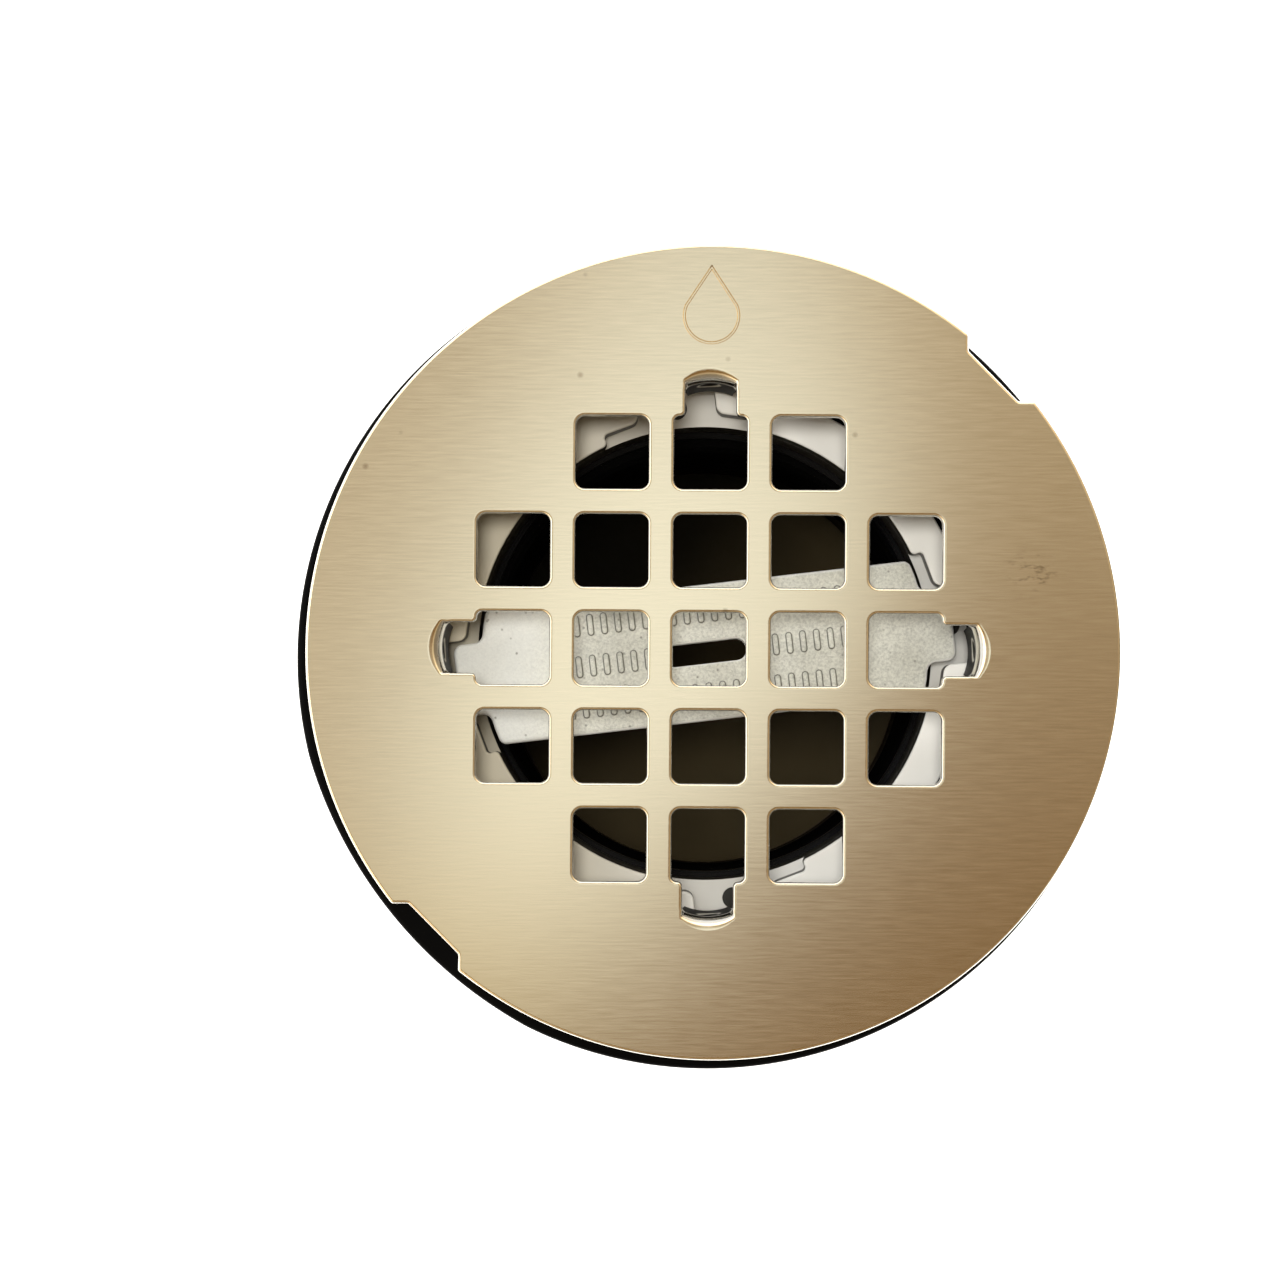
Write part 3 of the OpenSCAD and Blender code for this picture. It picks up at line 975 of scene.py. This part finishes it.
def arc_between(solid, start, end, radius):
    """New vertices on the notch floor's level between two vertices, counter-clockwise."""
    first = nut_angle(solid, start)
    gap = (nut_angle(solid, end) - first) % 360
    count = max(2, math.ceil(gap / 2.5))
    points = []
    for k in range(1, count):
        points.append((*(NUT_CENTRE + polar(radius, first + gap * k / count)), NOTCH_FLOOR))
    return solid.ring(points)


def outer_run(ring, block):
    """The vertices of a block's ring that lie on the nut's outer circle, counter-clockwise."""
    far = [(p - NUT_CENTRE).length > NUT_R - 0.06 for p in block.points]
    first = next(i for i in range(len(far)) if far[i] and not far[i - 1])
    turned_ring = ring[first:] + ring[:first]
    turned_far = far[first:] + far[:first]
    return [v for v, keep in zip(turned_ring, turned_far) if keep]


def wall_down(solid, ring, rows):
    """Carries a ring of the nut down through rows of (radius function, height)."""
    ways = [(Vector(solid.verts[v][:2]) - NUT_CENTRE).normalized() for v in ring]
    for radius, height in rows:
        below = solid.ring([(*(NUT_CENTRE + w * radius(NUT_CENTRE + w)), height) for w in ways])
        solid.bridge(ring, below)
        ring = below
    return ring


def compression_nut():
    """The ring nut that squeezes the gasket, with four notches for the key."""
    solid = Solid()
    blocks = [castle_block().placed(turn, NUT_CENTRE) for turn in KEY_TURNS]
    feet, outers, bores = [], [], []
    block_rows = [(0, NOTCH_FLOOR)]
    block_rows += [(x, NUT_HIGH.z - z) for x, z in edge_round(NUT_EDGE, NUT_EDGE)[::-1]]
    block_rows.append((NUT_EDGE + 0.05, NUT_HIGH.z))
    for block in blocks:
        rings = solid.sweep(block, block_rows)
        solid.fill(rings[-1])
        feet.append(rings[0])
        outers.append(outer_run(rings[0], block))
        bores.append([v for v, p in zip(rings[0], block.points)
                      if (p - NUT_CENTRE).length < NUT_BORE_R + 0.02][::-1])
    outer, bore, marks = [], [], []
    for i in range(4):
        after = (i + 1) % 4
        outer += outers[i] + arc_between(solid, outers[i][-1], outers[after][0], NUT_R)
        bore += bores[i] + arc_between(solid, bores[i][-1], bores[after][0], NUT_BORE_R)
        dimple = round_hole(EJECTOR_R, NUT_CENTRE + polar(EJECTOR_AT, KEY_TURNS[i]), 32)
        rings = solid.sweep(dimple, [(0, NOTCH_FLOOR), (-0.05, NOTCH_FLOOR - 0.15)])
        solid.fill(rings[-1])
        marks.append(rings[0])
    solid.fill(outer, bore, *feet, *marks)
    low = NUT_LOW.z
    heights = [NOTCH_FLOOR - (NOTCH_FLOOR - low - 0.3) * k / 24 for k in range(1, 25)]
    rows = [(lambda p, z=z: NUT_R - nut_thread(p, z), z) for z in heights]
    rows.append((lambda p: NUT_R - IN_GROOVE - 0.3, low))
    outer_low = wall_down(solid, outer, rows)
    rows = [(lambda p: NUT_BORE_R, low + 0.5), (lambda p: NUT_BORE_R + 0.15, low + 0.15),
            (lambda p: NUT_BORE_R + 0.5, low)]
    bore_low = wall_down(solid, bore, rows)
    solid.fill(outer_low, bore_low)
    return solid.build("castle_nut", "compression_nut", "compression_nut", "nut_plastic", grey_plastic())


# ---- tightening key

KEY_LOW, KEY_HIGH = box_mm("tightening_key")
KEY_CENTRE = ((KEY_LOW + KEY_HIGH) / 2).xy
KEY_HALF = 9.35
KEY_END_R = 30.7
KEY_REACH = 34.3
KEY_TAB_HALF = 4.95
SLOT_LONG = 11.5
SLOT_WIDE = 3.0
MARK_H = 0.35
KEY_FACE = KEY_HIGH.z - MARK_H
MARK_HALF = 1.4
MARK_START = 7.5
MARK_END = 19.5
MARK_ROW = 5.6
TALLY_HALF = 0.36
TALLY_STEP = 1.9


def key_outline():
    """The bar with rounded ends and a tab at each end."""
    edge = math.degrees(math.asin(KEY_HALF / KEY_END_R))
    root = math.degrees(math.asin(KEY_TAB_HALF / KEY_END_R))
    corner_x = KEY_END_R * math.cos(math.radians(edge))
    root_x = KEY_END_R * math.cos(math.radians(root))
    mid = polar(KEY_END_R, (edge + root) / 2)
    right = [(corner_x, -KEY_HALF, 1.2), (mid.x, -mid.y, 0), (root_x, -KEY_TAB_HALF, 1.3),
             (KEY_REACH, -KEY_TAB_HALF, 1.3), (KEY_REACH, KEY_TAB_HALF, 1.3),
             (root_x, KEY_TAB_HALF, 1.3), (mid.x, mid.y, 0), (corner_x, KEY_HALF, 1.2)]
    left = [(-x, -y, r) for x, y, r in right]
    return filleted(right + left, False, 12.0, 3.0)


def tally_marks():
    """Outlines of the short raised bars on the key, in plain rows that carry no meaning."""
    count = int((MARK_END - MARK_START) / TALLY_STEP)
    middle = [MARK_START + TALLY_HALF + k * TALLY_STEP for k in range(count + 1)]
    places = [(x, 0) for far in middle for x in (far, -far)]
    places += [(k * TALLY_STEP, y) for k in range(-10, 11) for y in (MARK_ROW, -MARK_ROW)]
    bar = rounded_box(TALLY_HALF, MARK_HALF, 0.3, 45.0, 3.0)
    return [bar.placed(0, place) for place in places]


def tightening_key():
    """The cast key with a driver slot through its middle and rows of raised bars."""
    solid = Solid()
    top, low = KEY_FACE, KEY_LOW.z
    place = dict(turn=KEY_ANGLE, shift=KEY_CENTRE)
    rings = solid.sweep(key_outline().placed(**place), edge_rows(top, low, 0.55, 0.3))
    slot = rounded_box(SLOT_LONG / 2, SLOT_WIDE / 2, 0.49 * SLOT_WIDE, 15.0, 3.0)
    slot_rings = solid.sweep(slot.placed(**place), edge_rows(top, low, 0.4, 0.2))
    feet = []
    pad = [(0.26, top), (0.2, top), (0.1, top + 0.05), (0.02, top + 0.18), (-0.04, top + 0.30),
           (-0.12, KEY_HIGH.z), (-0.18, KEY_HIGH.z)]
    for mark in tally_marks():
        pads = solid.sweep(mark.placed(**place), pad)
        solid.fill(pads[-1])
        feet.append(pads[0])
    solid.fill(rings[0], slot_rings[0], *feet)
    solid.fill(rings[-1], slot_rings[-1])
    return solid.build("cast_key", "tightening_key", "tightening_key", "key_zinc", cast_zinc())


# ---- under the floor

SEAL_LOW, SEAL_HIGH = box_mm("sealing_washer")
FRICTION_LOW, FRICTION_HIGH = box_mm("friction_washer")
LOCKNUT_LOW, LOCKNUT_HIGH = box_mm("locknut")
WASHER_BORE = 41.1
SEAL_R = 52.0
FRICTION_R = 51.0
LOCKNUT_BORE = 40.85
LOCKNUT_R = 46.0
LOCKNUT_FLANGE_R = 48.5
LOCKNUT_FLANGE_T = 3.0
LUG_R = 51.5
LUG_HALF = 4.5
LUGS = 8


def flat_ring(outer, inner, low, high, edge):
    """A flat ring with rounded edges."""
    curve = edge_round(edge, edge)
    flat = [inner + edge + 0.4, outer - edge - 0.4]
    rows = [(radius, low) for radius in flat]
    rows += [(outer - x, low + z) for x, z in curve]
    rows += [(outer - x, high - z) for x, z in curve[::-1]]
    rows += [(radius, high) for radius in flat[::-1]]
    rows += [(inner + x, high - z) for x, z in curve]
    rows += [(inner + x, low + z) for x, z in curve[::-1]]
    return lathe(rows)


def washers():
    """The rubber sealing washer and the fibre washer under it."""
    seal = flat_ring(SEAL_R, WASHER_BORE, SEAL_LOW.z, SEAL_HIGH.z, 0.5)
    seal.build("seal_ring", "washers", "sealing_washer", "washer_rubber", rubber("washer_rubber", 0.022))
    card = flat_ring(FRICTION_R, WASHER_BORE, FRICTION_LOW.z, FRICTION_HIGH.z, 0.12)
    card.build("friction_ring", "washers", "friction_washer", "friction_fibre", pressed_fibre())


def lugged(radius):
    """The locknut's outline with its lugs, over a barrel of that radius."""
    corners = []
    for k in range(LUGS):
        turn = 360 * k / LUGS
        foot = math.sqrt(radius ** 2 - LUG_HALF ** 2)
        tip = math.sqrt(LUG_R ** 2 - LUG_HALF ** 2)
        for x, y, r in ((foot, -LUG_HALF, 0.9), (tip, -LUG_HALF, 0.8), (LUG_R, 0, 0),
                        (tip, LUG_HALF, 0.8), (foot, LUG_HALF, 0.9)):
            corners.append((*turned(Vector((x, y)), turn), r))
        gap = 360 / LUGS
        side = math.degrees(math.asin(LUG_HALF / radius)) + 2.5
        start = turn + side
        corners += [(*polar(radius, start + (gap - 2 * side) * j / 10), 0) for j in range(11)]
    return filleted(corners, False, 22.5, 50.0)


def locknut():
    """The lugged ring nut that clamps the floor."""
    solid = Solid()
    low, high = LOCKNUT_LOW.z, LOCKNUT_HIGH.z
    step = high - LOCKNUT_FLANGE_T
    lower = [(0.6, low), (0.5, low)] + [(x, low + z) for x, z in edge_round(0.5, 0.5)] + [(0.0, step)]
    upper = [(0.0, step), (0.0, high - 0.4)] + [(x, high - z) for x, z in edge_round(0.4, 0.4)[::-1]]
    upper.append((0.5, high))
    rings = solid.sweep(lugged(LOCKNUT_R), lower)
    top_rings = solid.sweep(lugged(LOCKNUT_FLANGE_R), upper)
    solid.bridge(rings[-1], top_rings[0])
    bore = [(LOCKNUT_BORE + 0.9, high), (LOCKNUT_BORE + 0.2, high - 0.6)]
    bore += thread_rows(low + 0.8, high - 0.8, LOCKNUT_BORE, 0.8)[::-1]
    bore += [(LOCKNUT_BORE + 0.2, low + 0.6), (LOCKNUT_BORE + 0.9, low)]
    bore_rings = solid.tube(bore)
    solid.fill(top_rings[-1], bore_rings[0])
    solid.fill(rings[0], bore_rings[-1])
    return solid.build("lug_nut", "locknut", "locknut", "locknut_plastic",
                       black_plastic("locknut_abs", 0.34, 0.012))


# ---- stage, light and camera


FLOOR_Z = -0.02
SHEET_R = 46
SWEEP_R = 4000
FILL_POWER = 2.1
FILL_SIZE = 0.16
FILL_AT = (-35, 45, 650)
BAND_PEAK = 1.46
SOUTH_WARM = (1.10, 0.92, 0.50)
RING_SPAN = (0.5, 1.0)
RING_DARK = 1.3
RING_BRIGHT = 3.6
RING_WARM = (1.0, 0.84, 0.60)
RING_TINT = (0.97, 0.99, 1.0)
WALL_SPAN = (1.05, 1.45)
WALL_DARK = 0.24
WALL_BRIGHT = 0.95
CAMERA_AT = (-3.46, -6.90, 340.0)
VIEW_CENTRE = (-8.91, 2.44)
VIEW_WIDTH = 169.25
SENSOR = 36.0


def white_sweep():
    """White paper that glows, so that it stays white under any light."""
    m = Material("white_sweep")
    m.set(Base_Color=m.ramp(m.noise(3.0, 2.0, 0.5), (0.3, 0.95), (0.7, 1.0)), Roughness=0.9,
          Emission_Color=(1, 1, 1, 1), Emission_Strength=1.1)
    return m.data


def painted_shadow_sheet():
    """A sheet of painted shadow for the floor inside the bore: dark brown, with the painted shade deeper to
    the north-west.
    """
    m = Material("painted_shadow_sheet")
    tone = m.ramp(m.noise(40.0, 3.0, 0.5), (0.3, (0.10, 0.075, 0.035)), (0.7, (0.13, 0.10, 0.05)))
    # painted shade: darker to the north-west
    shade = m.soft(m.math("SUBTRACT", m.axis("X"), m.axis("Y")), -0.028, 0.016, 0.04, 0.60)
    m.set(Base_Color=m.scaled(tone, shade), Roughness=0.8)
    return m.data


def floor():
    """A white sweep round the drain and, under its bore, a sheet painted as the bore's shadow on the floor.
    """
    sweep, sheet = Solid(), Solid()
    near, far = ([(*polar(r, 360 * k / 96), FLOOR_Z) for k in range(96)] for r in (SHEET_R, SWEEP_R))
    sweep.bridge(sweep.ring(near), sweep.ring(far))
    sheet.fill(sheet.ring(near))
    linked("sweep_floor", sweep.mesh("sweep_floor", white_sweep()))
    # painted shadow: the floor under the bore is a dark sheet
    linked("bore_shadow_sheet", sheet.mesh("bore_shadow_sheet", painted_shadow_sheet()))


def fill_light():
    """A soft light overhead that reaches in through the holes and that the metal doesn't mirror."""
    data = bpy.data.lights.new("fill_light", "AREA")
    data.shape = "DISK"
    data.size = FILL_SIZE
    data.energy = FILL_POWER
    data.color = (1.0, 0.97, 0.89)
    light = linked("fill_light", data)
    light.location = Vector(FILL_AT) * MM
    light.visible_glossy = False


def overhead(n, u, v):
    """The sky straight above: one band with soft edges, in warmer colours where it is darker."""
    band = n.product(n.soft(v, 0.06, 0.24, BAND_PEAK, BAND_PEAK * 0.62), n.soft(v, -0.16, -0.075, 0.4, 1.0))
    band = n.product(band, n.soft(n.math("SUBTRACT", u, n.product(v, 0.3)), -0.17, -0.06, 0.44, 1.0))
    band = n.product(band, n.soft(n.math("ADD", u, n.product(v, 0.14)), 0.065, 0.155, 1.0, 0.30))
    band = n.product(band, n.soft(n.math("SUBTRACT", u, v), 0.045, 0.11, 1.0, 0.15))
    band = n.math("MAXIMUM", band, n.soft(v, -0.2, 0.2, 0.19, 0.5))
    tint = n.ramp(band, (0.25, (1.0, 0.70, 0.46)), (0.45, (1.0, 0.86, 0.66)), (0.65, (1.0, 0.97, 0.92)),
                  (0.95, (0.87, 0.98, 1.10)))
    return n.blend("MULTIPLY", n.soft(v, -0.15, -0.07, 1.0, 0.0), n.scaled(tint, band), SOUTH_WARM)


def horizon(n, around, side):
    """The bright ring lower in the sky and the dimmer walls beyond it, both darker to the south-east."""
    ring = n.soft(side, -0.9, 0.9, RING_DARK, RING_BRIGHT)
    wall = n.soft(side, -0.6, 0.4, WALL_DARK, WALL_BRIGHT)
    ring = n.blend("MIX", n.soft(around, *WALL_SPAN, 0.0, 1.0), ring, wall)
    shaded = n.product(n.soft(around, 0.6, 1.1, 0.0, 1.0), n.soft(side, -0.6, 0.0, 1.0, 0.0))
    ring = n.blend("MIX", shaded, ring, wall)
    return n.scaled(n.ramp(side, (0.0, RING_WARM), (0.6, RING_TINT)), ring)


def surround():
    """The room that the metal mirrors, by where a ray meets a level plane one unit above."""
    world = bpy.data.worlds.new("room")
    world.use_nodes = True
    n = Nodes(world.node_tree, "Generated")
    up = n.math("MAXIMUM", n.axis("Z"), 0.05)
    u = n.math("DIVIDE", n.axis("X"), up)
    v = n.math("DIVIDE", n.axis("Y"), up)
    around = n.length(u, v)
    side = n.math("SUBTRACT", n.product(v, 0.7), n.product(u, 0.7))
    side = n.math("DIVIDE", side, n.math("MAXIMUM", around, 0.01))
    low_down = n.soft(around, *RING_SPAN, 0.0, 1.0)
    sky = n.blend("MIX", low_down, overhead(n, u, v), horizon(n, around, side))
    n.put(world.node_tree.nodes["Background"].inputs["Color"], sky)
    bpy.context.scene.world = world


def camera():
    """A camera that looks straight down, a little off the drain's axis."""
    data = bpy.data.cameras.new("photo_camera")
    data.sensor_width = SENSOR
    distance = CAMERA_AT[2] - PLATE_TOP
    data.lens = SENSOR * distance / VIEW_WIDTH
    data.shift_x = (VIEW_CENTRE[0] - CAMERA_AT[0]) / VIEW_WIDTH
    data.shift_y = (VIEW_CENTRE[1] - CAMERA_AT[1]) / VIEW_WIDTH
    data.clip_start = 0.01
    obj = linked("photo_camera", data)
    obj.location = Vector(CAMERA_AT) * MM
    bpy.context.scene.camera = obj


strainer()
drain_body()
gasket()
slip_ring()
compression_nut()
tightening_key()
washers()
locknut()
floor()
fill_light()
surround()
camera()
scene = bpy.context.scene
scene.render.resolution_x = scene.render.resolution_y = 1280
scene.view_settings.view_transform = "Standard"
